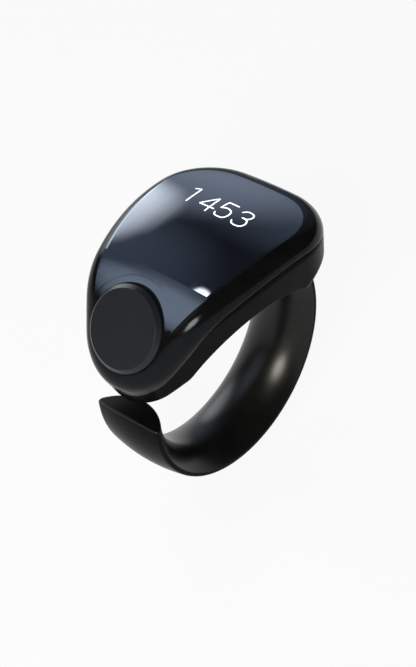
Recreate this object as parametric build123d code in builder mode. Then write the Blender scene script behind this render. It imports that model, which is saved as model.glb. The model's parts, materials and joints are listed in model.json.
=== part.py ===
import os
from math import acos, asin, atan2, cos, degrees, radians, sin, sqrt, tan

from build123d import *

os.makedirs("parts", exist_ok=True)

# Finger ring tally counter. Millimetres. The finger hole runs along Y, the head is on top (+Z),
# the wide end of the head and the root of the band are towards +X, the push button towards -X.

# Overall sizes
finger_r = 10.0
head_t = 6.15
head_half_w = 10.6
head_reach = 5.95
band_t = 2.5
band_w = 8.0

# Shape of the outer face of the head, seen from the side
crown_x = 0.36 * finger_r
top_r = 2.66 * finger_r
bend_r = 8.0
flank_tilt = 62.0
dome_drop = 0.95

# Plan of the head, drawn on a plane that leans towards the button, walls drawn in going down
plan_tilt = 23.0
draft = 10.5
tip_r = 7.1
corner_r = 7.5
side_r = 55.0
root_polar = 39.0
chin_z = 0.76
chin_t = 2.4
chin_r = 5.7
chin_sweep = 50.0
rim_round = 2.0
chin_round = 1.0
root_share = 8 / 31
neck_top = 5.83
neck_side = 0.4

# Shell
wall = 1.1
root_wall = 1.3
floor_t = 1.0
cover_t = 1.4
parting = 2.1
window_t = 0.8
window_inset = 1.9
window_low = 1.5
gasket_in = 0.35
gasket_w = 0.45
gasket_h = 0.3

# Clearances
seam = 0.03
fit = 0.05
touch = 0.02

# Push button and switch, measured along the button's own axis from its top face
button_polar = 143.74
button_reach = 5.59
button_proud = 0.5
button_r = 4.25
button_bevel = 0.4
flange_r = 4.55
flange_l = 4.8
flange_h = 0.4
button_h = 2.6
collar_r = 5.1
seal_top = 1.72
seal_h = 0.36
seal_w = 0.4
travel = 0.25
frame_t = 0.1
switch_w = 3.4
switch_h = 0.6
plunger_r = 0.75
plunger_l = 0.66
dome_rad = 1.1
dome_t = 0.06
board_t = 0.6
switch_board_t = 0.4
switch_board_w = 5.2
switch_board_up = 2.4
switch_board_down = 3.6

# Display and main board
display_x = 0.26 * finger_r
display_l = 6.0
display_w = 13.0
display_t = 1.4
tape_t = 0.3
aperture_l = 4.4
aperture_w = 11.4
board_left = 0.58 * finger_r
board_right = 0.82 * finger_r
board_half_w = 5.8
post_r = 0.75
screw_r = 0.4
screw_l = 1.0
screw_head_r = 0.75
screw_head_t = 0.4
flex_t = 0.12
flex_w = 3.0
contact_r = 0.8
contact_y = 2.5
flange_t = 0.2

# Battery
cell_r = 1.35
cell_gap = 0.07
cell_l = 8.6
tab_t = 0.15
tab_w = 1.6

# Band
band_edge = 0.5
band_crown = 0.4
edge_r = 0.25
band_end = -176.0
tongue_r = 20.0
spring_t = 0.35
spring_w = 4.4
spring_gap = 0.04
spring_end = -160.0
pin_r = 0.3
pin_y = 1.3
pin_in = 0.5
pin_l = 1.9

# Derived positions
crown_z = finger_r + head_t
dome_r = (head_half_w**2 + dome_drop**2) / (2 * dome_drop)
top_cz = crown_z - top_r
lean = radians(flank_tilt)
out_n = (-sin(lean), cos(lean))
up_s = (cos(lean), sin(lean))
button_x = (finger_r + button_reach) * cos(radians(button_polar))
button_z = (finger_r + button_reach) * sin(radians(button_polar))
flank_k = out_n[0] * button_x + out_n[1] * button_z - button_proud
turn = lean - acos((flank_k - bend_r + sin(lean) * crown_x - cos(lean) * top_cz) / (top_r - bend_r))
bend_x = crown_x - (top_r - bend_r) * sin(turn)
bend_z = top_cz + (top_r - bend_r) * cos(turn)
floor_r = finger_r + floor_t
plan_level = crown_z + 0.75
end_b = finger_r + head_reach
corner_y = head_half_w - corner_r
root = radians(root_polar)
board_z = floor_r + flange_t
board_top = board_z + board_t
display_z = board_top + tape_t
panel_top = display_z + display_t
spring_r = floor_r + spring_gap
flange_top = button_h - flange_h
plunger_foot = button_h + touch + plunger_l
switch_top = button_h + travel + fit
switch_board_d = switch_top + frame_t + switch_h
cell_ring = floor_r + cell_gap + cell_r
cell_polar = root_polar + degrees(asin((root_wall + cell_gap + cell_r) / cell_ring))
cell_x = cell_ring * cos(radians(cell_polar))
cell_z = cell_ring * sin(radians(cell_polar))
tab_y = (cell_l + tab_t) / 2
band_r = finger_r + band_t
neck_half = band_w / 2 + neck_side
overhang = head_half_w - neck_half
root_round = root_share * overhang
neck_rise = degrees(atan2(neck_top, overhang))
tab_end = root_polar + degrees((root_wall + 0.1) / spring_r)
pin_from = finger_r + pin_in
pin_to = pin_from + pin_l
chip_x = -0.36 * finger_r
post_x = -0.4 * finger_r
screw_spots = [(post_x, -0.9 * board_half_w), (post_x, 0.9 * board_half_w)]
rest_spots = [(0.5 * finger_r, -0.8 * board_half_w), (0.5 * finger_r, 0.8 * board_half_w)]
rib_spots = [(-2.9, 0), (1.7, 0)]

flank = Plane(origin=(button_x, 0, button_z), x_dir=(up_s[0], 0, up_s[1]), z_dir=(out_n[0], 0, out_n[1]))
press_axis = Axis((button_x, 0, button_z), (out_n[0], 0, out_n[1]))
end_ray = radians(band_end)
tongue = Plane(
    origin=((band_r - band_t / 2) * cos(end_ray), 0, (band_r - band_t / 2) * sin(end_ray)),
    x_dir=(sin(end_ray), 0, -cos(end_ray)),
    z_dir=(cos(end_ray), 0, sin(end_ray)),
)
tilt = radians(plan_tilt)
chin_turn = radians(chin_sweep)
chin_x = -sqrt(finger_r**2 - chin_z**2) - chin_t
chin_depth = plan_level + chin_x * sin(tilt) - chin_z * cos(tilt)
chin_u = chin_x * cos(tilt) + chin_z * sin(tilt)
tip_back = chin_depth * tan(radians(draft)) - chin_u - tip_r
plan = Plane(
    origin=(-sin(tilt) * plan_level, 0, cos(tilt) * plan_level),
    x_dir=(cos(tilt), 0, sin(tilt)),
    z_dir=(-sin(tilt), 0, cos(tilt)),
)
reach = 3 * finger_r
half_span = head_half_w + 0.65


def on_arc(cx, cz, r, angle):
    return (cx - r * sin(angle), cz + r * cos(angle))


def spine_points(depth):
    wide = -(1.3 * finger_r) / top_r
    start = on_arc(crown_x, top_cz, top_r - depth, wide)
    mid = on_arc(crown_x, top_cz, top_r - depth, (wide + turn) / 2)
    shoulder = on_arc(crown_x, top_cz, top_r - depth, turn)
    bend_mid = on_arc(bend_x, bend_z, bend_r - depth, (turn + lean) / 2)
    brow = on_arc(bend_x, bend_z, bend_r - depth, lean)
    run = (brow[1] + 0.6 * finger_r) / up_s[1]
    foot = (brow[0] - run * up_s[0], brow[1] - run * up_s[1])
    return start, mid, shoulder, bend_mid, brow, foot


def domed_slab(top, bottom):
    start, mid, shoulder, bend_mid, brow, foot = spine_points(0)
    drop = dome_r - sqrt(dome_r**2 - half_span**2)
    with BuildPart() as slab:
        with BuildLine(Plane.XZ) as path:
            ThreePointArc(start, mid, shoulder)
            ThreePointArc(shoulder, bend_mid, brow)
            Line(brow, foot)
        with BuildSketch(Plane(origin=path.line @ 0, x_dir=(0, 1, 0), z_dir=path.line % 0)):
            with BuildLine():
                ThreePointArc((-half_span, top + drop), (0, top), (half_span, top + drop))
                Line((half_span, top + drop), (half_span, bottom + drop))
                ThreePointArc((half_span, bottom + drop), (0, bottom), (-half_span, bottom + drop))
                Line((-half_span, bottom + drop), (-half_span, top + drop))
            make_face()
        sweep(path=path.line)
    return slab.part


def under_spine(depth):
    start, mid, shoulder, bend_mid, brow, foot = spine_points(depth)
    with BuildPart() as under:
        with BuildSketch(Plane.XZ):
            with BuildLine():
                ThreePointArc(start, mid, shoulder)
                ThreePointArc(shoulder, bend_mid, brow)
                Line(brow, foot)
                Polyline(foot, (start[0], foot[1]), start)
            make_face()
        extrude(amount=half_span + 1, both=True)
    return under.part


def side_centre():
    dx = end_b - corner_r + tip_back
    gap = sqrt(dx**2 + corner_y**2)
    d_tip = side_r - tip_r
    d_corner = side_r - corner_r
    along = (d_tip**2 - d_corner**2 + gap**2) / (2 * gap)
    off = sqrt(d_tip**2 - along**2)
    return (-tip_back + (along * dx + off * corner_y) / gap, (along * corner_y - off * dx) / gap)


def flip(p):
    return (p[0], -p[1])


def plan_cutter(inset):
    r_tip = tip_r - inset
    r_corner = corner_r - inset
    r_side = side_r - inset
    sx, sy = side_centre()
    cx = end_b - corner_r
    a_tip = atan2(-sy, -tip_back - sx)
    a_corner = atan2(corner_y - sy, cx - sx)
    a_mid = (a_tip + a_corner) / 2
    tip_end = (-tip_back + r_tip * cos(a_tip), r_tip * sin(a_tip))
    corner_end = (cx + r_corner * cos(a_corner), corner_y + r_corner * sin(a_corner))
    side_mid = (sx + r_side * cos(a_mid), sy + r_side * sin(a_mid))
    corner_mid = (cx + r_corner * cos(a_corner / 2), corner_y + r_corner * sin(a_corner / 2))
    end = (end_b - inset, corner_y)
    with BuildPart() as cutter:
        with BuildSketch(plan):
            with BuildLine():
                ThreePointArc(flip(tip_end), (-tip_back - r_tip, 0), tip_end)
                ThreePointArc(tip_end, side_mid, corner_end)
                ThreePointArc(corner_end, corner_mid, end)
                Line(end, flip(end))
                ThreePointArc(flip(end), flip(corner_mid), flip(corner_end))
                ThreePointArc(flip(corner_end), flip(side_mid), flip(tip_end))
            make_face()
        extrude(amount=-(plan_level + 0.3 * finger_r), taper=draft)
    return cutter.part


def radial_plane(polar, lift):
    ray = radians(polar)
    across = Vector(-sin(ray), 0, cos(ray))
    return Plane(origin=lift * across, x_dir=(cos(ray), 0, sin(ray)), z_dir=across)


def below_radial(polar, lift):
    with BuildPart() as half:
        with BuildSketch(radial_plane(polar, lift)):
            with Locations((reach / 2, 0)):
                Rectangle(reach, 2 * reach)
        extrude(amount=-reach)
    return half.part


def neck_cheeks(half_w):
    ray = (cos(root), 0, sin(root))
    rise = (reach - half_w) * tan(radians(neck_rise))
    with BuildPart() as cheeks:
        with BuildSketch(Plane(origin=(0, 0, 0), x_dir=(0, 1, 0), z_dir=ray)):
            for side in (-1, 1):
                with BuildLine():
                    Polyline(
                        (side * half_w, 0),
                        (side * reach, rise),
                        (side * reach, -0.5 * finger_r),
                        (side * half_w, -0.5 * finger_r),
                        (side * half_w, 0),
                    )
                make_face()
        extrude(amount=reach)
    return cheeks.part


def chin_level(y):
    side = chin_r * sin(chin_turn)
    if abs(y) < side:
        return chin_z + chin_r - sqrt(chin_r**2 - y**2)
    return chin_z + chin_r * (1 - cos(chin_turn)) + (abs(y) - side) * tan(chin_turn)


def below_chin(inset):
    r = chin_r - inset
    side = r * sin(chin_turn)
    turn_z = chin_z + chin_r - r * cos(chin_turn)
    far_z = turn_z + (reach - side) * tan(chin_turn)
    with BuildPart() as under:
        with BuildSketch(Plane.YZ):
            with BuildLine():
                ThreePointArc((-side, turn_z), (0, chin_z + inset), (side, turn_z))
                Polyline(
                    (side, turn_z),
                    (reach, far_z),
                    (reach, -reach),
                    (-reach, -reach),
                    (-reach, far_z),
                    (-side, turn_z),
                )
            make_face()
        extrude(amount=-reach)
    return under.part


def head_blank(inset, bottom_r, root_lift, neck):
    with BuildPart() as blank:
        add(under_spine(bend_r / 2))
        add(domed_slab(0, bend_r - 1))
        add(plan_cutter(inset), mode=Mode.INTERSECT)
        Cylinder(bottom_r, 3 * reach, rotation=(90, 0, 0), mode=Mode.SUBTRACT)
        add(below_radial(root_polar, root_lift), mode=Mode.SUBTRACT)
        add(neck_cheeks(neck), mode=Mode.SUBTRACT)
        add(below_chin(inset), mode=Mode.SUBTRACT)
    return blank.part


def face_depth(p):
    angle = atan2(crown_x - p.X, p.Z - top_cz)
    if angle < turn:
        return top_r - sqrt((p.X - crown_x) ** 2 + (p.Z - top_cz) ** 2)
    if atan2(bend_x - p.X, p.Z - bend_z) < lean:
        return bend_r - sqrt((p.X - bend_x) ** 2 + (p.Z - bend_z) ** 2)
    return flank_k - out_n[0] * p.X - out_n[1] * p.Z


def is_rim(edge):
    for k in (0.1, 0.9):
        p = edge @ k
        if abs(face_depth(p) - dome_r + sqrt(dome_r**2 - p.Y**2)) > 0.01:
            return False
    along = edge % 0.5
    return abs(along.Y) < 0.98 or (edge @ 0.5).X > 0.7 * finger_r


def is_neck(edge):
    p = edge @ 0.5
    lift = p.Z * cos(root) - p.X * sin(root)
    cheek = abs(p.Y) - neck_half - lift / tan(radians(neck_rise))
    if sqrt(p.X**2 + p.Z**2) < finger_r + 0.3:
        return False
    return abs(lift) < 0.01 or (abs(cheek) < 0.02 and 0 < lift < head_t)


def is_chin(edge):
    for k in (0.2, 0.8):
        p = edge @ k
        if p.X > 0 or abs(p.Z - chin_level(p.Y)) > 0.01 or sqrt(p.X**2 + p.Z**2) < finger_r + 0.1:
            return False
    return True


def bored(deep, r):
    with BuildPart() as bore:
        with BuildSketch(flank.offset(-deep)):
            Circle(r)
        extrude(amount=deep + 2)
    return bore.part


def ring_sector(r_in, r_out, half_w, polar_from, polar_to):
    with BuildPart() as sector:
        with BuildSketch(radial_plane(polar_from, 0)):
            with Locations(((r_in + r_out) / 2, 0)):
                Rectangle(r_out - r_in, 2 * half_w)
        revolve(axis=Axis.Y, revolution_arc=polar_from - polar_to)
    return sector.part


def root_pins(r, r_in, r_out):
    ray = (cos(root), 0, sin(root))
    lift = root_wall / 2
    base = (r_in * ray[0] - lift * sin(root), 0, r_in * ray[2] + lift * cos(root))
    with BuildPart() as pins:
        with BuildSketch(Plane(origin=base, x_dir=(0, 1, 0), z_dir=ray)):
            with Locations((-pin_y, 0), (pin_y, 0)):
                Circle(r)
        extrude(amount=r_out - r_in)
    return pins.part


def gasket_ring():
    with BuildPart() as ring:
        add(plan_cutter(gasket_in))
        add(plan_cutter(gasket_in + gasket_w), mode=Mode.SUBTRACT)
        add(under_spine(parting), mode=Mode.INTERSECT)
        add(under_spine(parting + gasket_h), mode=Mode.SUBTRACT)
        Cylinder(finger_r, 3 * reach, rotation=(90, 0, 0), mode=Mode.SUBTRACT)
    return ring.part


def window_blank(extra, gap):
    with BuildPart() as lens:
        add(domed_slab(-extra, window_t))
        add(plan_cutter(window_inset + gap), mode=Mode.INTERSECT)
        add(bored(button_h + 1, collar_r + gap), mode=Mode.SUBTRACT)
        with BuildSketch(flank.offset(-button_h - 4)):
            with Locations((window_low + gap - reach / 2, 0)):
                Rectangle(reach, 2 * reach)
        extrude(amount=button_h + 8, mode=Mode.SUBTRACT)
    return lens.part


# Outside of the head, the room inside it and the room the button's flange moves in
with BuildPart() as outside:
    add(head_blank(0, finger_r, 0, neck_half))
    fillet(outside.edges().filter_by(is_rim), radius=rim_round)
hollow = head_blank(wall, floor_r, root_wall, neck_half - wall / sin(radians(neck_rise)))
with BuildPart() as flange_room:
    with BuildSketch(flank.offset(-switch_top - touch)):
        Circle(flange_r + 0.1)
        Rectangle(flange_l + 0.3, 2 * reach, mode=Mode.INTERSECT)
    extrude(amount=switch_top - flange_top + 2 * touch)
spring_slot = ring_sector(
    spring_r - touch, spring_r + spring_t + touch, spring_w / 2 + touch, tab_end + 3, root_polar - 1
)

# Lower housing
with BuildPart() as lower_housing:
    add(outside.part)
    add(under_spine(parting), mode=Mode.INTERSECT)
    fillet(lower_housing.edges().filter_by(is_neck), radius=root_round)
    fillet(lower_housing.edges().filter_by(is_chin), radius=chin_round)
    add(hollow, mode=Mode.SUBTRACT)
    with BuildSketch(Plane.XY.offset(board_z)):
        with Locations(*screw_spots, *rest_spots):
            Circle(post_r)
    extrude(amount=-0.4 * finger_r)
    with BuildSketch(flank.offset(-switch_board_d - switch_board_t)):
        with Locations(*rib_spots):
            Rectangle(0.7, 0.85 * switch_board_w)
    extrude(amount=-2)
    Cylinder(finger_r, 3 * reach, rotation=(90, 0, 0), mode=Mode.SUBTRACT)
    add(bored(switch_top + touch, button_r + fit), mode=Mode.SUBTRACT)
    add(flange_room.part, mode=Mode.SUBTRACT)
    add(gasket_ring(), mode=Mode.SUBTRACT)
    with BuildSketch(Plane.XY.offset(board_z)):
        with Locations(*screw_spots):
            Circle(screw_r)
    extrude(amount=-screw_l, mode=Mode.SUBTRACT)
    with BuildSketch(Plane.XY.offset(floor_r + 0.5)):
        with Locations((0, -contact_y), (0, contact_y)):
            Circle(contact_r + touch)
    extrude(amount=-floor_t - 1, mode=Mode.SUBTRACT)
    add(spring_slot, mode=Mode.SUBTRACT)
    add(root_pins(pin_r, pin_from, pin_to), mode=Mode.SUBTRACT)
lower_housing.part.label = "lower_housing"
export_step(lower_housing.part, "parts/lower_housing.step")

# Top cover, with a collar the button slides in and an opening over the display
with BuildPart() as cover_room:
    add(hollow)
    add(domed_slab(-2, cover_t), mode=Mode.SUBTRACT)
with BuildPart() as collar:
    with BuildSketch(flank.offset(-flange_top + touch)):
        Circle(collar_r)
    extrude(amount=flange_top)
    add(outside.part, mode=Mode.INTERSECT)
with BuildPart() as top_cover:
    add(outside.part)
    add(under_spine(parting), mode=Mode.SUBTRACT)
    add(cover_room.part, mode=Mode.SUBTRACT)
    add(collar.part)
    add(window_blank(2, 0), mode=Mode.SUBTRACT)
    add(bored(switch_top, button_r + fit), mode=Mode.SUBTRACT)
    add(flange_room.part, mode=Mode.SUBTRACT)
    with BuildSketch(Plane.XY.offset(panel_top - 1)):
        with Locations((display_x, 0)):
            Rectangle(aperture_l, aperture_w)
    extrude(amount=head_t, mode=Mode.SUBTRACT)
top_cover.part.label = "top_cover"
export_step(top_cover.part, "parts/top_cover.step")

# Smoked window let into the cover
with BuildPart() as window:
    add(window_blank(0, seam))
    add(outside.part, mode=Mode.INTERSECT)
window.part.label = "window"
export_step(window.part, "parts/window.step")

# Seal between cover and housing
with BuildPart() as cover_gasket:
    add(gasket_ring())
cover_gasket.part.label = "cover_gasket"
export_step(cover_gasket.part, "parts/cover_gasket.step")

# Count button with its seal ring
with BuildPart() as count_button:
    with BuildSketch(flank.offset(-button_h)):
        Circle(button_r)
    extrude(amount=button_h)
    chamfer(count_button.faces().sort_by(press_axis)[-1].edges(), length=button_bevel)
    with BuildSketch(flank.offset(-button_h)):
        Circle(flange_r)
        Rectangle(flange_l, 2 * reach, mode=Mode.INTERSECT)
    extrude(amount=button_h - flange_top)
    with BuildSketch(flank.offset(-button_h)):
        Circle(button_r - 1)
        Circle(switch_w / 2, mode=Mode.SUBTRACT)
    extrude(amount=button_h - 1, mode=Mode.SUBTRACT)
    with BuildSketch(flank.offset(-seal_top - seal_h)):
        Circle(button_r + 1)
        Circle(button_r - seal_w, mode=Mode.SUBTRACT)
    extrude(amount=seal_h, mode=Mode.SUBTRACT)
count_button.part.label = "count_button"
export_step(count_button.part, "parts/count_button.step")

with BuildPart() as button_seal:
    with BuildSketch(flank.offset(-seal_top - seal_h)):
        Circle(button_r + fit - touch)
        Circle(button_r - seal_w, mode=Mode.SUBTRACT)
    extrude(amount=seal_h)
button_seal.part.label = "button_seal"
export_step(button_seal.part, "parts/button_seal.step")

# Switch under the button
with BuildPart() as switch_plunger:
    with BuildSketch(flank.offset(-plunger_foot)):
        Circle(plunger_r)
    extrude(amount=plunger_foot - button_h - touch)
switch_plunger.part.label = "switch_plunger"
export_step(switch_plunger.part, "parts/switch_plunger.step")

with BuildPart() as switch_frame:
    with BuildSketch(flank.offset(-switch_top - frame_t)):
        RectangleRounded(switch_w, switch_w, 0.3)
        Circle(plunger_r + fit, mode=Mode.SUBTRACT)
    extrude(amount=frame_t)
switch_frame.part.label = "switch_frame"
export_step(switch_frame.part, "parts/switch_frame.step")

with BuildPart() as switch_body:
    with BuildSketch(flank.offset(-switch_board_d)):
        RectangleRounded(switch_w, switch_w, 0.3)
        Circle(dome_rad + touch, mode=Mode.SUBTRACT)
    extrude(amount=switch_h)
switch_body.part.label = "switch_body"
export_step(switch_body.part, "parts/switch_body.step")

dome_top = -plunger_foot - touch
with BuildPart() as switch_dome:
    with BuildSketch(Plane(origin=flank.origin, x_dir=flank.x_dir, z_dir=(0, -1, 0))):
        with BuildLine():
            Polyline(
                (0, dome_top),
                (0, dome_top - dome_t),
                (0.45 * dome_rad, dome_top - dome_t),
                (dome_rad - 0.1, -switch_board_d),
                (dome_rad, -switch_board_d),
                (0.5 * dome_rad, dome_top),
                (0, dome_top),
            )
        make_face()
    revolve(axis=press_axis)
switch_dome.part.label = "switch_dome"
export_step(switch_dome.part, "parts/switch_dome.step")

with BuildPart() as switch_board:
    with BuildSketch(flank.offset(-switch_board_d - switch_board_t)):
        with Locations(((switch_board_up - switch_board_down) / 2, 0)):
            RectangleRounded(switch_board_up + switch_board_down, switch_board_w, 1.2)
    extrude(amount=switch_board_t)
switch_board.part.label = "switch_board"
export_step(switch_board.part, "parts/switch_board.step")

flex_from = flank.from_local_coords(Vector(switch_board_up - 0.6, 0, flex_t / 2 - switch_board_d))
flex_via = flank.from_local_coords(Vector(switch_board_up + 0.2, 0, flex_t / 2 - switch_board_d))
with BuildPart() as switch_flex:
    with BuildSketch(Plane.XZ.offset(flex_w / 2)):
        with BuildLine():
            Polyline(
                (flex_from.X, flex_from.Z),
                (flex_via.X, flex_via.Z),
                (-board_left - 0.2, board_top + flex_t / 2),
                (-board_left + 0.6, board_top + flex_t / 2),
            )
        trace(line_width=flex_t)
    extrude(amount=-flex_w)
switch_flex.part.label = "switch_flex"
export_step(switch_flex.part, "parts/switch_flex.step")

# Main board and what is soldered to it
with BuildPart() as main_board:
    with BuildSketch(Plane.XY.offset(board_z)):
        with Locations(((board_right - board_left) / 2, 0)):
            RectangleRounded(board_right + board_left, 2 * board_half_w, 1.8)
        with Locations(*screw_spots):
            Circle(screw_r + touch, mode=Mode.SUBTRACT)
    extrude(amount=board_t)
main_board.part.label = "main_board"
export_step(main_board.part, "parts/main_board.step")

with BuildPart() as board_screws:
    with BuildSketch(Plane.XY.offset(board_top)):
        with Locations(*screw_spots):
            Circle(screw_head_r)
    extrude(amount=screw_head_t)
    with BuildSketch(Plane.XY.offset(board_top)):
        with Locations(*screw_spots):
            Circle(screw_r)
    extrude(amount=-board_t - screw_l + 0.1)
board_screws.part.label = "board_screws"
export_step(board_screws.part, "parts/board_screws.step")

with BuildPart() as controller_chip:
    with Locations((chip_x, 0.9, board_top)):
        Box(2.4, 2.6, 0.6, align=(Align.CENTER, Align.CENTER, Align.MIN))
controller_chip.part.label = "controller_chip"
export_step(controller_chip.part, "parts/controller_chip.step")

with BuildPart() as charger_chip:
    with Locations((chip_x, -2.2, board_top)):
        Box(1.6, 1.6, 0.5, align=(Align.CENTER, Align.CENTER, Align.MIN))
charger_chip.part.label = "charger_chip"
export_step(charger_chip.part, "parts/charger_chip.step")

with BuildPart() as crystal:
    with Locations((chip_x, 3.3, board_top)):
        Box(1.2, 1.6, 0.45, align=(Align.CENTER, Align.CENTER, Align.MIN))
crystal.part.label = "crystal"
export_step(crystal.part, "parts/crystal.step")

with BuildPart() as chip_parts:
    with Locations(*[(chip_x + 2.2, y, board_top) for y in (-4.6, -3.7, -2.8, 2.8, 3.7, 4.6)]):
        Box(1.0, 0.5, 0.5, align=(Align.CENTER, Align.CENTER, Align.MIN))
chip_parts.part.label = "chip_parts"
export_step(chip_parts.part, "parts/chip_parts.step")

with BuildPart() as charge_contacts:
    with BuildSketch(Plane.XY.offset(finger_r + touch)):
        with Locations((0, -contact_y), (0, contact_y)):
            Circle(contact_r)
    extrude(amount=floor_t)
    with BuildSketch(Plane.XY.offset(floor_r)):
        with Locations((0, -contact_y), (0, contact_y)):
            Circle(contact_r + 0.3)
    extrude(amount=flange_t)
charge_contacts.part.label = "charge_contacts"
export_step(charge_contacts.part, "parts/charge_contacts.step")

# Display
with BuildPart() as display_tape:
    with Locations((display_x, 0, board_top)):
        Box(display_l - 1, display_w - 2, tape_t, align=(Align.CENTER, Align.CENTER, Align.MIN))
display_tape.part.label = "display_tape"
export_step(display_tape.part, "parts/display_tape.step")

with BuildPart() as display_panel:
    with BuildSketch(Plane.XY.offset(display_z)):
        with Locations((display_x, 0)):
            RectangleRounded(display_l, display_w, 0.4)
    extrude(amount=display_t)
display_panel.part.label = "display_panel"
export_step(display_panel.part, "parts/display_panel.step")

with BuildPart() as display_foam:
    with BuildSketch(Plane.XY.offset(panel_top)):
        with Locations((display_x, 0)):
            Rectangle(display_l - 0.2, display_w - 0.2)
            Rectangle(aperture_l, aperture_w, mode=Mode.SUBTRACT)
    extrude(amount=head_t)
    add(domed_slab(-6, cover_t), mode=Mode.SUBTRACT)
display_foam.part.label = "display_foam"
export_step(display_foam.part, "parts/display_foam.step")

panel_left = display_x - display_l / 2
with BuildPart() as display_flex:
    with BuildSketch(Plane.XZ.offset(flex_w / 2)):
        with BuildLine():
            Polyline(
                (panel_left, display_z + 0.4),
                (panel_left - 0.5, display_z + 0.4),
                (panel_left - 0.8, display_z + 0.2),
                (panel_left - 0.8, board_top + 0.2),
                (panel_left - 1.1, board_top + flex_t / 2),
                (panel_left - 1.7, board_top + flex_t / 2),
            )
        trace(line_width=flex_t)
    extrude(amount=-flex_w)
display_flex.part.label = "display_flex"
export_step(display_flex.part, "parts/display_flex.step")

# Battery in the wide end
with BuildPart() as battery:
    with Locations((cell_x, 0, cell_z)):
        Cylinder(cell_r, cell_l, rotation=(90, 0, 0))
    fillet(battery.edges(), radius=0.25)
battery.part.label = "battery"
export_step(battery.part, "parts/battery.step")

with BuildPart() as battery_tabs:
    with Locations(*[(cell_x, y, cell_z - tab_w / 2) for y in (-tab_y, tab_y)]):
        Box(tab_w, tab_t, board_z - cell_z + tab_w / 2, align=(Align.CENTER, Align.CENTER, Align.MIN))
battery_tabs.part.label = "battery_tabs"
export_step(battery_tabs.part, "parts/battery_tabs.step")

with BuildPart() as battery_pad:
    add(ring_sector(floor_r, floor_r + 0.5, 0.32 * cell_l, cell_polar + 4.2, cell_polar - 4.2))
    with Locations((cell_x, 0, cell_z)):
        Cylinder(cell_r, 2 * cell_l, rotation=(90, 0, 0), mode=Mode.SUBTRACT)
battery_pad.part.label = "battery_pad"
export_step(battery_pad.part, "parts/battery_pad.step")

# Band with its spring strip
with BuildPart() as band:
    with BuildSketch(radial_plane(root_polar, -touch)):
        with BuildLine():
            ThreePointArc((band_r, edge_r - band_w / 2), (band_r + band_crown, 0), (band_r, band_w / 2 - edge_r))
            ThreePointArc(
                (band_r, band_w / 2 - edge_r),
                (band_r - 0.293 * edge_r, band_w / 2 - 0.293 * edge_r),
                (band_r - edge_r, band_w / 2),
            )
            Line((band_r - edge_r, band_w / 2), (band_r - band_edge, band_w / 2))
            ThreePointArc((band_r - band_edge, band_w / 2), (finger_r, 0), (band_r - band_edge, -band_w / 2))
            Line((band_r - band_edge, -band_w / 2), (band_r - edge_r, -band_w / 2))
            ThreePointArc(
                (band_r - edge_r, -band_w / 2),
                (band_r - 0.293 * edge_r, -band_w / 2 + 0.293 * edge_r),
                (band_r, -band_w / 2 + edge_r),
            )
        make_face()
    revolve(axis=Axis.Y, revolution_arc=root_polar - band_end)
    with BuildSketch(tongue):
        Rectangle(0.9 * tongue_r, 2 * band_w)
        with Locations((-tongue_r, 0)):
            Circle(tongue_r, mode=Mode.SUBTRACT)
    extrude(amount=band_t, both=True, mode=Mode.SUBTRACT)
    add(ring_sector(spring_r, spring_r + spring_t, spring_w / 2, root_polar, spring_end), mode=Mode.SUBTRACT)
band.part.label = "band"
export_step(band.part, "parts/band.step")

with BuildPart() as band_spring:
    add(ring_sector(spring_r, spring_r + spring_t, spring_w / 2, tab_end, spring_end))
    add(root_pins(pin_r + touch, pin_from, pin_to), mode=Mode.SUBTRACT)
band_spring.part.label = "band_spring"
export_step(band_spring.part, "parts/band_spring.step")

with BuildPart() as band_pins:
    add(root_pins(pin_r, pin_from, pin_to))
band_pins.part.label = "band_pins"
export_step(band_pins.part, "parts/band_pins.step")
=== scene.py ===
import json
from math import asin, cos, pi, radians, sin, sqrt

import bmesh
import bpy
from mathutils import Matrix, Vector
from mathutils.bvhtree import BVHTree


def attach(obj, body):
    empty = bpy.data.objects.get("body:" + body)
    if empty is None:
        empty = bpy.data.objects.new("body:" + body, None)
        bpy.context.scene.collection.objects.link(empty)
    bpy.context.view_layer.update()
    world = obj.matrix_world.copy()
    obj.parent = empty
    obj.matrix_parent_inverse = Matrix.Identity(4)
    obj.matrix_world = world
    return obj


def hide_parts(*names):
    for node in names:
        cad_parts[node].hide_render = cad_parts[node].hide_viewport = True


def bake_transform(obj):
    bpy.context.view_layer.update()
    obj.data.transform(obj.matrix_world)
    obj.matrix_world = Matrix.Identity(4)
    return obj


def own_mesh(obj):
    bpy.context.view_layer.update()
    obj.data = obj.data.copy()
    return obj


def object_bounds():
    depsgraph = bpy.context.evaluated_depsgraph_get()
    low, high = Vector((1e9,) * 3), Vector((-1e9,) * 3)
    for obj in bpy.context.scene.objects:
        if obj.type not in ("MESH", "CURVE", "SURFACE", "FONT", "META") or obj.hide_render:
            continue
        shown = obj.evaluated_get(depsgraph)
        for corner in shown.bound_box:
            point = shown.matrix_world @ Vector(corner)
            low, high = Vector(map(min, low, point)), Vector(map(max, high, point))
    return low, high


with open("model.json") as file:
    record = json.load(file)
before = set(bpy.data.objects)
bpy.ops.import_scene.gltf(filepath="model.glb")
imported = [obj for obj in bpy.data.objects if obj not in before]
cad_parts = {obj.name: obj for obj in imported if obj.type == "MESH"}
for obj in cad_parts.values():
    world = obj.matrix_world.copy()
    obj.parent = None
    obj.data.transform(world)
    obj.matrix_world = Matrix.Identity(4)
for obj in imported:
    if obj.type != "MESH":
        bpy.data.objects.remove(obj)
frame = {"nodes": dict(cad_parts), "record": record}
cad_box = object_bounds()
scene = bpy.context.scene
scene.view_settings.view_transform = "Standard"

# Sizes of the object are in millimetres and degrees, in the frame's own axes
MM = 0.001
SMOOTH_ANGLE = 42.0

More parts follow.
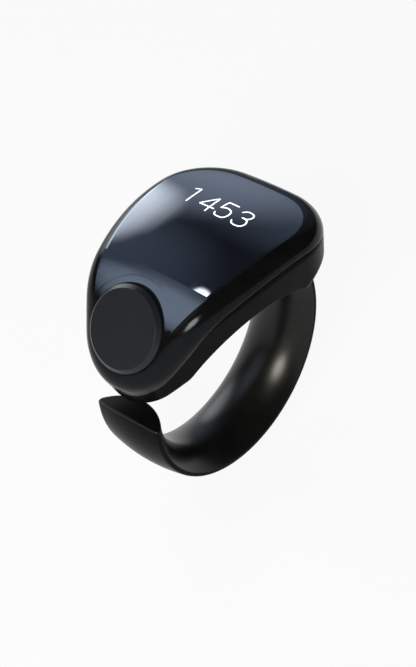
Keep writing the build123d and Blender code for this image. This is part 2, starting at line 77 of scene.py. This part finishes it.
# Band round the finger: section, polar angles of its ends, and the stretch that bends
FINGER_R = 10.0
BAND_T = 2.5
BAND_W = 8.0
BAND_ROOT = 39.0
BAND_END = -176.0
BAND_GAP = 0.02
BAND_EDGE = 0.5
BAND_CROWN = 0.4
EDGE_R = 0.25

# Tongue at the band's free end: its curve, and its rounding, drawn in to a share of the thickness
TONGUE_R = 20.0
TIP_ROUND = 0.2
TIP_STEPS = 4
TIP_HEART = 0.75

# Button, and the lip of the window above it
FLANK_TILT = 62.0
BUTTON_POLAR = 143.74
BUTTON_REACH = 5.59
LIP_IN = 4.42
COLLAR_R = 5.09
LIP_OUT = 5.128
LIP_FROM = 20.0
LIP_TO = 160.0
LIP_RISE = 0.006
LIP_SINK = 0.05
LIP_ABOVE = 6.0

# Digits on the display: name, left edge and foot of each, and the form of their strokes
DIGITS = [("1", 4.12, 0.46), ("4", 2.14, 0.15), ("5", -0.06, 0.15), ("3", -2.2, 0.08)]
DIGIT_H = 2.4
STROKE_W = 0.16
STROKE_SIDES = 10
STROKE_STEP = 0.12
STROKE_JOIN = 0.01
STROKE_LIFT = 0.006
STROKE_RISE = 0.008
STROKE_SINK = 0.05
CAP_TURNS = (25, 50, 70, 84)
OVER_WINDOW = 40.0

# Floor, in metres: flat in the middle, swept up at its sides, and clear of the opened band
FLOOR_HALF = 1.2
FLAT_HALF = 0.8
FLOOR_CELLS = 24
SWEEP_RISE = 0.17
FLOOR_DROP = 0.002
FLOOR_COLOUR = (0.86, 0.86, 0.86, 1.0)
FLOOR_ROUGH = 0.9
FLOOR_SHEEN = 0.1
FLOOR_WHITE = (1.0, 1.0, 1.0, 1.0)
FLOOR_GLOW = 0.9

# Soft surround: level of light by height, pale at the horizon and dark overhead
SKY = [(0.0, 0.4), (0.06, 0.12), (0.2, 0.06), (0.6, 0.04), (1.0, 0.03)]
SKY_TINT = (0.84, 0.91, 1.0)

# Soft panels: azimuth, elevation, inner and outer radius in degrees, level and colour
PANELS = [
    (162, 25, 11, 22, 3.8, (0.92, 0.96, 1.0)),
    (138, 24, 5, 24, 0.6, (0.68, 0.8, 1.0)),
    (-176, 42, 4, 30, 0.34, (0.62, 0.75, 1.0)),
    (112, 34, 10, 32, 0.24, (0.62, 0.75, 1.0)),
    (-124, 44, 2, 34, 1.5, (0.74, 0.86, 1.0)),
    (-169.5, 66.5, 0.3, 2.2, 14.0, (1.0, 1.0, 1.0)),
]

# Key lamp, a soft disc: degrees, metres and watts
KEY_AZ = -64.0
KEY_EL = 26.0
KEY_DIST = 0.4
KEY_SIZE = 0.15
KEY_POWER = 1.6
KEY_COLOUR = (1.0, 0.96, 0.86)

# Camera: degrees and millimetres, and what it sees from and to in metres
VIEW_AZ = -49.23
VIEW_EL = 36.16
VIEW_DIST = 159.09
SENSOR = 36.0
LENS = 84.66
SHIFT = (-0.00384, 0.0228)
NEAREST = 0.001
FARTHEST = 20.0


def direction(azimuth, elevation):
    a = radians(azimuth)
    e = radians(elevation)
    return Vector((sin(a) * cos(e), -cos(a) * cos(e), sin(e)))


def polar_point(angle, radius):
    a = radians(angle)
    return Vector((cos(a), 0, sin(a))) * radius


def new_object(name, verts, faces):
    """A smooth piece from points in millimetres, its faces turned outwards."""
    mesh = bpy.data.meshes.new(name)
    mesh.from_pydata([Vector(v) * MM for v in verts], [], faces)
    bm = bmesh.new()
    bm.from_mesh(mesh)
    bmesh.ops.recalc_face_normals(bm, faces=bm.faces)
    bm.to_mesh(mesh)
    bm.free()
    for polygon in mesh.polygons:
        polygon.use_smooth = True
    obj = bpy.data.objects.new(name, mesh)
    scene.collection.objects.link(obj)
    return obj


# Materials: a cloud of noise varies each one between two limits, and a fine grain roughens it
CLOUD_LOW = 0.3
CLOUD_HIGH = 0.7
EDGE_FADE = 0.1


class Surface:
    """A material with one shader and a few ways to vary it over the surface."""

    def __init__(self, name):
        self.material = bpy.data.materials.new(name)
        self.material.use_nodes = True
        self.tree = self.material.node_tree
        self.shader = self.tree.nodes["Principled BSDF"]
        coords = self.tree.nodes.new("ShaderNodeTexCoord")
        self.place = coords.outputs["Object"]

    def value(self, **sockets):
        for key, number in sockets.items():
            self.shader.inputs[key.replace("_", " ")].default_value = number

    def noise(self, size, detail=3.0, stretch=(1, 1, 1)):
        mapping = self.tree.nodes.new("ShaderNodeMapping")
        mapping.inputs["Scale"].default_value = [k / (size * MM) for k in stretch]
        self.tree.links.new(self.place, mapping.inputs["Vector"])
        node = self.tree.nodes.new("ShaderNodeTexNoise")
        node.inputs["Scale"].default_value = 1.0
        node.inputs["Detail"].default_value = detail
        self.tree.links.new(mapping.outputs["Vector"], node.inputs["Vector"])
        return node.outputs["Fac"]

    def ramp(self, factor, dark, light, low=CLOUD_LOW, high=CLOUD_HIGH):
        node = self.tree.nodes.new("ShaderNodeValToRGB")
        first, last = node.color_ramp.elements
        first.position = low
        first.color = (*dark, 1.0)
        last.position = high
        last.color = (*light, 1.0)
        self.tree.links.new(factor, node.inputs["Fac"])
        return node.outputs["Color"]

    def spread(self, factor, low, high):
        node = self.tree.nodes.new("ShaderNodeMapRange")
        node.inputs["From Min"].default_value = CLOUD_LOW
        node.inputs["From Max"].default_value = CLOUD_HIGH
        node.inputs["To Min"].default_value = low
        node.inputs["To Max"].default_value = high
        self.tree.links.new(factor, node.inputs["Value"])
        return node.outputs["Result"]

    def feed(self, socket, output):
        self.tree.links.new(output, self.shader.inputs[socket])

    def soft_edges(self, radius, below):
        """Edges shaded as if rounded, and with below only on faces that look up less than that."""
        node = self.tree.nodes.new("ShaderNodeBevel")
        node.inputs["Radius"].default_value = radius * MM
        normal = node.outputs["Normal"]
        if below:
            plain = self.tree.nodes.new("ShaderNodeNewGeometry").outputs["Normal"]
            split = self.tree.nodes.new("ShaderNodeSeparateXYZ")
            self.tree.links.new(plain, split.inputs["Vector"])
            share = self.tree.nodes.new("ShaderNodeMapRange")
            share.inputs["From Min"].default_value = below
            share.inputs["From Max"].default_value = below + EDGE_FADE
            self.tree.links.new(split.outputs["Z"], share.inputs["Value"])
            mix = self.tree.nodes.new("ShaderNodeMix")
            mix.data_type = "VECTOR"
            self.tree.links.new(share.outputs["Result"], mix.inputs["Factor"])
            self.tree.links.new(normal, mix.inputs["A"])
            self.tree.links.new(plain, mix.inputs["B"])
            normal = mix.outputs["Result"]
        self.tree.links.new(normal, self.shader.inputs["Normal"])

    def bump(self, factor, height):
        node = self.tree.nodes.new("ShaderNodeBump")
        node.inputs["Strength"].default_value = 1.0
        node.inputs["Distance"].default_value = height * MM
        self.tree.links.new(factor, node.inputs["Height"])
        if self.shader.inputs["Normal"].is_linked:
            before = self.shader.inputs["Normal"].links[0].from_socket
            self.tree.links.new(before, node.inputs["Normal"])
        self.tree.links.new(node.outputs["Normal"], self.shader.inputs["Normal"])


def moulded(
    name, dark, light, rough, grain, height, patch=3.0, specular=0.5, tint=None, edge=None, coat=None
):
    """Moulded plastic or rubber: colour and roughness in clouds as wide as patch, and a fine grain."""
    s = Surface(name)
    if edge:
        s.soft_edges(*edge)
    cloud = s.noise(patch)
    s.feed("Base Color", s.ramp(cloud, dark, light))
    s.feed("Roughness", s.spread(cloud, *rough))
    s.value(Specular_IOR_Level=specular)
    if tint:
        s.value(Specular_Tint=(*tint, 1.0))
    if coat:
        s.value(Coat_Weight=1.0, Coat_Roughness=coat)
    s.bump(s.noise(grain, detail=2.0), height)
    return s.material


def metal(name, dark, light, rough, grain, stretch, height=0.002):
    """Bare metal with rolling or turning marks along one way."""
    s = Surface(name)
    marks = s.noise(grain, detail=4.0, stretch=stretch)
    s.feed("Base Color", s.ramp(marks, dark, light))
    s.feed("Roughness", s.spread(marks, *rough))
    s.value(Metallic=1.0)
    s.bump(marks, height)
    return s.material


def board_mask(name):
    """Solder mask with faint copper tracks under it."""
    s = Surface(name)
    tracks = s.noise(size=0.9, stretch=(1, 0.25, 1))
    mask = s.ramp(tracks, dark=(0.008, 0.08, 0.03), light=(0.02, 0.17, 0.06), low=0.44, high=0.5)
    s.feed("Base Color", mask)
    s.feed("Roughness", s.spread(tracks, low=0.3, high=0.42))
    s.bump(tracks, height=0.01)
    return s.material


def glowing(name):
    """Lit strokes of the display."""
    s = Surface(name)
    light = s.ramp(s.noise(size=0.6), dark=(0.9, 0.93, 1.0), light=(1.0, 1.0, 1.0))
    s.feed("Base Color", light)
    s.feed("Emission Color", light)
    s.value(Emission_Strength=0.95, Roughness=0.4)
    return s.material


def grey(level):
    return (level, level, level)


# Moulded finishes: darkest and lightest colour, range of roughness, width and height of the grain
MOULDED = {
    "gloss_black": dict(
        dark=grey(0.003), light=grey(0.005), rough=(0.13, 0.17), grain=0.7, height=0.0005,
        specular=0.12, tint=(0.78, 0.86, 1.0), edge=(0.2, 0.45),
    ),
    "smoked_window": dict(
        dark=(0.003, 0.0035, 0.006), light=(0.0045, 0.006, 0.01), rough=(0.04, 0.06), grain=1.6,
        height=0.0004, patch=6.0, specular=1.0, tint=(0.66, 0.78, 1.0), coat=0.03,
    ),
    "shell_black": dict(
        dark=grey(0.002), light=(0.004, 0.004, 0.0038), rough=(0.2, 0.28), grain=0.12, height=0.0008,
        specular=0.01, edge=(0.2, 0.45),
    ),
    "button_grey": dict(
        dark=(0.0084, 0.0093, 0.0114), light=(0.0092, 0.0102, 0.0122), rough=(0.276, 0.284), grain=0.06,
        height=0.0004, patch=9.0, specular=0.26, edge=(0.1, None),
    ),
    "soft_black": dict(
        dark=grey(0.003), light=(0.005, 0.005, 0.0048), rough=(0.24, 0.3), grain=0.07, height=0.002,
        specular=0.02,
    ),
    "soft_lining": dict(
        dark=grey(0.003), light=(0.005, 0.005, 0.0048), rough=(0.27, 0.31), grain=0.07, height=0.0015,
        specular=0.24,
    ),
    "seal_rubber": dict(dark=grey(0.02), light=grey(0.035), rough=(0.5, 0.65), grain=0.15, height=0.005),
    "foam_black": dict(
        dark=grey(0.02), light=grey(0.07), rough=(0.8, 0.95), grain=0.12, height=0.03, patch=0.5
    ),
    "switch_nylon": dict(dark=grey(0.05), light=grey(0.1), rough=(0.4, 0.55), grain=0.1, height=0.004),
    "chip_epoxy": dict(
        dark=grey(0.012), light=grey(0.03), rough=(0.45, 0.6), grain=0.08, height=0.004, patch=1.0
    ),
    "chip_ceramic": dict(
        dark=(0.3, 0.22, 0.15), light=(0.5, 0.4, 0.3), rough=(0.35, 0.5), grain=0.1, height=0.003, patch=0.6
    ),
    "tape_white": dict(
        dark=(0.6, 0.6, 0.58), light=(0.8, 0.8, 0.78), rough=(0.6, 0.8), grain=0.1, height=0.01, patch=1.0
    ),
    "flex_amber": dict(
        dark=(0.3, 0.11, 0.015), light=(0.52, 0.24, 0.04), rough=(0.2, 0.35), grain=0.3, height=0.003,
        patch=0.7,
    ),
    "display_glass": dict(
        dark=(0.008, 0.009, 0.013), light=(0.016, 0.018, 0.026), rough=(0.04, 0.08), grain=1.2, height=0.0005
    ),
}

# Metal finishes: darkest and lightest colour, range of roughness, width of the marks and how they run
METALS = {
    "sheet_steel": dict(
        dark=grey(0.45), light=(0.65, 0.65, 0.64), rough=(0.25, 0.4), grain=0.2, stretch=(8, 1, 1)
    ),
    "spring_steel": dict(
        dark=(0.28, 0.28, 0.29), light=(0.5, 0.5, 0.51), rough=(0.3, 0.45), grain=0.2, stretch=(1, 8, 1)
    ),
    "can_metal": dict(
        dark=(0.55, 0.55, 0.53), light=(0.72, 0.72, 0.7), rough=(0.25, 0.38), grain=0.3, stretch=(1, 4, 1)
    ),
    "cell_can": dict(
        dark=(0.5, 0.51, 0.52), light=(0.7, 0.71, 0.72), rough=(0.25, 0.4), grain=0.3, stretch=(1, 6, 1)
    ),
    "contact_gold": dict(
        dark=(0.62, 0.42, 0.12), light=(0.86, 0.64, 0.25), rough=(0.18, 0.32), grain=0.15, stretch=(1, 5, 1)
    ),
}

materials = {name: moulded(name, **finish) for name, finish in MOULDED.items()}
materials.update({name: metal(name, **finish) for name, finish in METALS.items()})
materials["board_green"] = board_mask("board_green")
slots = {entry["node"]: entry["material_slot"] for entry in frame["record"]["subparts"]}
for name, slot in slots.items():
    node = frame["nodes"][name]
    node.data.materials.clear()
    node.data.materials.append(materials[slot])


# Band, bending with the spring from its root to its free end
def band_section(columns):
    """Inner and outer radius of the band at columns across its width."""
    half = BAND_W / 2
    rise = BAND_T - BAND_EDGE
    bow = (half**2 + rise**2) / (2 * rise)
    flat = half - EDGE_R
    crown_r = (flat**2 + BAND_CROWN**2) / (2 * BAND_CROWN)
    rows = []
    for k in range(columns + 1):
        y = -half * cos(pi * k / columns)
        inner = FINGER_R + bow - sqrt(bow**2 - y**2)
        over = abs(y) - flat
        if over > 0:
            outer = FINGER_R + BAND_T - EDGE_R + sqrt(max(EDGE_R**2 - over**2, 0))
        else:
            outer = FINGER_R + BAND_T + BAND_CROWN - crown_r + sqrt(crown_r**2 - y**2)
        rows.append((y, inner, outer))
    return rows


def band_loop(columns, layers):
    """Section of the band as one loop: inner face, one side, outer face, other side."""
    section = band_section(columns)
    loop = [(y, inner) for y, inner, outer in section]
    y, inner, outer = section[-1]
    loop += [(y, inner + (outer - inner) * j / layers) for j in range(1, layers)]
    loop += [(y, outer) for y, inner, outer in reversed(section)]
    y, inner, outer = section[0]
    loop += [(y, outer + (inner - outer) * j / layers) for j in range(1, layers)]
    return loop


def band_ends(y, r):
    """Polar angles of the root face and of the tongue's end for one point of the section."""
    root = radians(BAND_ROOT) - asin(BAND_GAP / r)
    back = TONGUE_R - sqrt(TONGUE_R**2 - y**2)
    tip = radians(BAND_END) + asin(back / r)
    return root, tip


def end_faces(base, columns, layers, count):
    """Faces that close one end of the band, where the loop of count points starts at base."""
    faces = []
    for k in range(columns):
        far = base + columns + layers + (columns - k)
        face = [base + k, base + k + 1, far - 1, far]
        if k == 0:
            face += [base + count - j for j in reversed(range(1, layers))]
        elif k == columns - 1:
            face[2:2] = [base + columns + j for j in range(1, layers)]
        faces.append(face)
    return faces


def make_band(columns=28, layers=3, rings=150):
    loop = band_loop(columns, layers)
    count = len(loop)
    heart = FINGER_R + TIP_HEART * BAND_T
    turns = [radians(90 * k / TIP_STEPS) for k in range(TIP_STEPS + 1)]
    stations = [(i / rings, 0.0, 0.0) for i in range(rings)]
    stations += [(1.0, TIP_ROUND * (1 - sin(a)), TIP_ROUND * (1 - cos(a))) for a in turns]
    verts = []
    for share, short, inset in stations:
        for y, r in loop:
            drawn = 1 - inset / sqrt(y**2 + (r - heart) ** 2)
            r_in = heart + (r - heart) * drawn
            root, tip = band_ends(y, r)
            polar = root + (tip + short / r - root) * share
            verts.append((r_in * cos(polar), y * drawn, r_in * sin(polar)))
    last = len(stations) - 1
    faces = []
    for i in range(last):
        for k in range(count):
            n = (k + 1) % count
            faces.append((i * count + k, i * count + n, (i + 1) * count + n, (i + 1) * count + k))
    faces += end_faces(0, columns, layers, count)
    faces += end_faces(last * count, columns, layers, count)
    skin = new_object("band_skin", verts, faces)
    skin.data.set_sharp_from_angle(angle=radians(SMOOTH_ANGLE))
    skin.data.materials.append(materials["soft_black"])
    skin.data.materials.append(materials["soft_lining"])
    for polygon in skin.data.polygons:
        row, column = divmod(polygon.index, count)
        crease = row >= last - TIP_STEPS
        if row < last and (column < columns or crease):
            polygon.material_index = 1
    return skin


band_skin = make_band()
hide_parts("band")
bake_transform(band_skin)


# Lip of the window, carried over the collar up to the gap round the button
def make_lip(sectors=72, rows=5):
    cover = BVHTree.FromObject(frame["nodes"]["top_cover"], bpy.context.evaluated_depsgraph_get())
    lean = radians(FLANK_TILT)
    out = Vector((-sin(lean), 0, cos(lean)))
    rise = Vector((cos(lean), 0, sin(lean)))
    across = Vector((0, 1, 0))
    centre = polar_point(BUTTON_POLAR, FINGER_R + BUTTON_REACH)
    seats = []
    lifts = []
    for i in range(sectors + 1):
        angle = radians(LIP_FROM + (LIP_TO - LIP_FROM) * i / sectors)
        spoke = rise * sin(angle) + across * cos(angle)
        for j in range(rows + 1):
            foot = centre + spoke * (LIP_IN + (COLLAR_R - LIP_IN) * j / rows)
            seats.append(cover.ray_cast((foot + out * LIP_ABOVE) * MM, -out)[0] / MM)
            lifts.append(0.0 if min(i, sectors - i, j) == 0 else LIP_RISE)
        slope = (seats[-1] - seats[-2]) * rows / (COLLAR_R - LIP_IN)
        seats.append(seats[-1] + slope * (LIP_OUT - COLLAR_R))
        lifts.append(0.0)
    verts = [seat + out * lift for seat, lift in zip(seats, lifts)]
    verts += [seat - out * LIP_SINK for seat in seats]
    under = len(seats)
    points = rows + 2
    last = points - 1
    faces = []
    for i in range(sectors):
        for j in range(last):
            a = i * points + j
            quad = (a, a + 1, a + points + 1, a + points)
            faces.append(quad)
            faces.append([under + k for k in reversed(quad)])
    rim = list(range(last))
    rim += [i * points + last for i in range(sectors)]
    rim += [sectors * points + j for j in range(last, 0, -1)]
    rim += [i * points for i in range(sectors, 0, -1)]
    for a, b in zip(rim, rim[1:] + rim[:1]):
        faces.append((a, b, under + b, under + a))
    lip = new_object("window_lip", verts, faces)
    lip.data.set_sharp_from_angle(angle=radians(SMOOTH_ANGLE))
    lip.data.materials.append(materials["smoked_window"])
    return lip


window_lip = make_lip()
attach(window_lip, "head")


# Digits, lying on the window over the display
window_skin = BVHTree.FromObject(frame["nodes"]["window"], bpy.context.evaluated_depsgraph_get())


def window_height(x, y):
    return window_skin.ray_cast(Vector((x, y, OVER_WINDOW)) * MM, Vector((0, 0, -1)))[0].z / MM


def smooth_line(points, tight=0.12, most=0.4, steps=5):
    """Points of a line with its corners rounded, each by tight or most of its shorter side."""
    line = [Vector(points[0])]
    for before, corner, after in zip(points, points[1:], points[2:]):
        c = Vector(corner)
        a = Vector(before) - c
        b = Vector(after) - c
        cut = min(tight, most * a.length, most * b.length)
        p = c + a.normalized() * cut
        q = c + b.normalized() * cut
        for k in range(steps + 1):
            t = k / steps
            line.append(p * (1 - t) ** 2 + c * 2 * t * (1 - t) + q * t**2)
    line.append(Vector(points[-1]))
    return line


def curve_line(points, steps=8):
    """Points of a smooth line through the given ones."""
    pts = [Vector(p) for p in points]
    pts = [pts[0] * 2 - pts[1], *pts, pts[-1] * 2 - pts[-2]]
    line = []
    for a, b, c, d in zip(pts, pts[1:], pts[2:], pts[3:]):
        for k in range(steps):
            t = k / steps
            square = a * 2 - b * 5 + c * 4 - d
            cube = b * 3 - a - c * 3 + d
            line.append((b * 2 + (c - a) * t + square * t**2 + cube * t**3) / 2)
    line.append(pts[-2])
    return line


# Stroke of each digit: distance to the right of its left edge, and share of its height
STROKES = {
    "1": smooth_line([(0.0, 0.9), (0.62, 1.0), (0.62, 0.0)]),
    "4": smooth_line([(1.28, 0.0), (1.28, 1.0), (0.0, 0.29), (1.78, 0.29)]),
    "5": smooth_line([(1.36, 1.0), (0.16, 1.0), (0.06, 0.53)])
    + curve_line([
        (0.06, 0.53), (0.62, 0.63), (1.26, 0.55), (1.45, 0.3),
        (1.2, 0.06), (0.68, 0.0), (0.2, 0.04), (0.0, 0.17),
    ])[1:],
    "3": curve_line([
        (0.1, 0.83), (0.42, 0.97), (0.8, 1.0), (1.25, 0.94), (1.4, 0.76), (1.15, 0.58), (0.58, 0.54),
    ])
    + curve_line([
        (0.58, 0.54), (1.2, 0.51), (1.46, 0.29), (1.24, 0.07), (0.72, 0.0), (0.24, 0.04), (0.0, 0.17),
    ])[1:],
}


def stroke_mesh(line, left, foot):
    """Points and faces of a flat rounded stroke that lies on the window."""
    path = [Vector((foot + v * DIGIT_H, left - u)) for u, v in line]
    kept = path[:1]
    for point in path[1:]:
        base = kept[-1]
        gap = point - base
        if gap.length > STROKE_JOIN:
            steps = int(gap.length / STROKE_STEP) + 1
            kept += [base + gap * k / steps for k in range(1, steps + 1)]
    rings = []
    for i, point in enumerate(kept):
        before = kept[max(i - 1, 0)]
        after = kept[min(i + 1, len(kept) - 1)]
        rings.append((point, (after - before).normalized(), 1.0))
    first, way_in, _ = rings[0]
    last, way_out, _ = rings[-1]
    caps = [(sin(radians(turn)) * STROKE_W / 2, cos(radians(turn))) for turn in CAP_TURNS]
    head = [(first - way_in * past, way_in, width) for past, width in reversed(caps)]
    tail = [(last + way_out * past, way_out, width) for past, width in caps]
    rings = head + rings + tail
    verts = []
    for centre, along, width in rings:
        across = Vector((-along.y, along.x))
        for k in range(STROKE_SIDES):
            angle = 2 * pi * k / STROKE_SIDES
            p = centre + across * (cos(angle) * width * STROKE_W / 2)
            height = STROKE_RISE if sin(angle) > 0 else STROKE_SINK
            verts.append((p.x, p.y, window_height(p.x, p.y) + STROKE_LIFT + sin(angle) * height))
    faces = []
    for a in range(0, len(verts) - STROKE_SIDES, STROKE_SIDES):
        b = a + STROKE_SIDES
        for k in range(STROKE_SIDES):
            n = (k + 1) % STROKE_SIDES
            faces.append((a + k, a + n, b + n, b + k))
    faces.append(list(range(STROKE_SIDES)))
    faces.append(list(range(len(verts) - STROKE_SIDES, len(verts))))
    return verts, faces


glow = glowing("display_glow")
for digit, left, foot in DIGITS:
    piece = new_object("digit_" + digit, *stroke_mesh(STROKES[digit], left, foot))
    piece.data.materials.append(glow)
    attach(piece, "head")


# Spring strip and snap disc, which bend and flatten as the object is used
def soft_copy(node, name):
    """A piece with a node's own shape, free to change that shape."""
    piece = bpy.data.objects.new(name, frame["nodes"][node].data.copy())
    scene.collection.objects.link(piece)
    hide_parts(node)
    return piece


spring_strip = soft_copy("band_spring", "spring_strip")
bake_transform(spring_strip)

snap_disc = soft_copy("switch_dome", "snap_disc")
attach(snap_disc, "head")
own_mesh(snap_disc)

# Floor, white where it is seen or mirrored, with the object's soft shadow
bm = bmesh.new()
bmesh.ops.create_grid(bm, x_segments=FLOOR_CELLS, y_segments=FLOOR_CELLS, size=FLOOR_HALF)
for vert in bm.verts:
    beyond = max(abs(vert.co.x), abs(vert.co.y)) - FLAT_HALF
    vert.co.z = SWEEP_RISE * (max(beyond, 0) / (FLOOR_HALF - FLAT_HALF)) ** 2
floor_mesh = bpy.data.meshes.new("floor")
bm.to_mesh(floor_mesh)
bm.free()
floor = bpy.data.objects.new("floor", floor_mesh)
floor.location = (0, 0, cad_box[0].z - FLOOR_DROP)
scene.collection.objects.link(floor)

floor_paint = bpy.data.materials.new("floor_paint")
floor_paint.use_nodes = True
tree = floor_paint.node_tree
base = tree.nodes["Principled BSDF"]
base.inputs["Base Color"].default_value = FLOOR_COLOUR
base.inputs["Roughness"].default_value = FLOOR_ROUGH
base.inputs["Specular IOR Level"].default_value = FLOOR_SHEEN
white = tree.nodes.new("ShaderNodeEmission")
white.inputs["Color"].default_value = FLOOR_WHITE
white.inputs["Strength"].default_value = 1.0
rays = tree.nodes.new("ShaderNodeLightPath")
either = tree.nodes.new("ShaderNodeMath")
either.operation = "MAXIMUM"
tree.links.new(rays.outputs["Is Camera Ray"], either.inputs[0])
tree.links.new(rays.outputs["Is Glossy Ray"], either.inputs[1])
seen = tree.nodes.new("ShaderNodeMath")
seen.operation = "MAXIMUM"
tree.links.new(either.outputs["Value"], seen.inputs[0])
tree.links.new(rays.outputs["Is Transmission Ray"], seen.inputs[1])
share = tree.nodes.new("ShaderNodeMath")
share.operation = "MULTIPLY"
share.inputs[1].default_value = FLOOR_GLOW
tree.links.new(seen.outputs["Value"], share.inputs[0])
mix = tree.nodes.new("ShaderNodeMixShader")
tree.links.new(share.outputs["Value"], mix.inputs["Fac"])
tree.links.new(base.outputs["BSDF"], mix.inputs[1])
tree.links.new(white.outputs["Emission"], mix.inputs[2])
tree.links.new(mix.outputs["Shader"], tree.nodes["Material Output"].inputs["Surface"])
floor.data.materials.append(floor_paint)

# Studio surround with its soft panels
world = bpy.data.worlds.new("studio")
scene.world = world
world.use_nodes = True
tree = world.node_tree
way = tree.nodes.new("ShaderNodeTexCoord").outputs["Generated"]
split = tree.nodes.new("ShaderNodeSeparateXYZ")
tree.links.new(way, split.inputs["Vector"])
sky = tree.nodes.new("ShaderNodeValToRGB")
while len(sky.color_ramp.elements) < len(SKY):
    sky.color_ramp.elements.new(0.5)
for element, (place, level) in zip(sky.color_ramp.elements, SKY):
    element.position = place
    element.color = (*[level * part for part in SKY_TINT], 1.0)
tree.links.new(split.outputs["Z"], sky.inputs["Fac"])
total = sky.outputs["Color"]
for azimuth, elevation, inner, outer, level, colour in PANELS:
    near = tree.nodes.new("ShaderNodeVectorMath")
    near.operation = "DOT_PRODUCT"
    near.inputs[1].default_value = direction(azimuth, elevation)
    tree.links.new(way, near.inputs[0])
    fade = tree.nodes.new("ShaderNodeMapRange")
    fade.interpolation_type = "SMOOTHSTEP"
    fade.inputs["From Min"].default_value = cos(radians(outer))
    fade.inputs["From Max"].default_value = cos(radians(inner))
    fade.inputs["To Max"].default_value = level
    tree.links.new(near.outputs["Value"], fade.inputs["Value"])
    panel = tree.nodes.new("ShaderNodeVectorMath")
    panel.operation = "SCALE"
    panel.inputs[0].default_value = colour
    tree.links.new(fade.outputs["Result"], panel.inputs["Scale"])
    add = tree.nodes.new("ShaderNodeVectorMath")
    add.operation = "ADD"
    tree.links.new(total, add.inputs[0])
    tree.links.new(panel.outputs["Vector"], add.inputs[1])
    total = add.outputs["Vector"]
tree.links.new(total, tree.nodes["Background"].inputs["Color"])

key_light = bpy.data.lights.new("key", "AREA")
key_light.shape = "DISK"
key_light.size = KEY_SIZE
key_light.energy = KEY_POWER
key_light.color = KEY_COLOUR
key = bpy.data.objects.new("key", key_light)
key_way = direction(KEY_AZ, KEY_EL)
key.location = key_way * KEY_DIST
key.rotation_mode = "QUATERNION"
key.rotation_quaternion = key_way.to_track_quat("Z", "Y")
key.visible_camera = False
scene.collection.objects.link(key)

camera = bpy.data.objects.new("camera", bpy.data.cameras.new("camera"))
back = direction(VIEW_AZ, VIEW_EL)
camera.location = back * VIEW_DIST * MM
camera.rotation_mode = "QUATERNION"
camera.rotation_quaternion = (-back).to_track_quat("-Z", "Y")
camera.data.sensor_width = SENSOR
camera.data.lens = LENS
camera.data.shift_x = SHIFT[0]
camera.data.shift_y = SHIFT[1]
camera.data.clip_start = NEAREST
camera.data.clip_end = FARTHEST
scene.collection.objects.link(camera)
scene.camera = camera
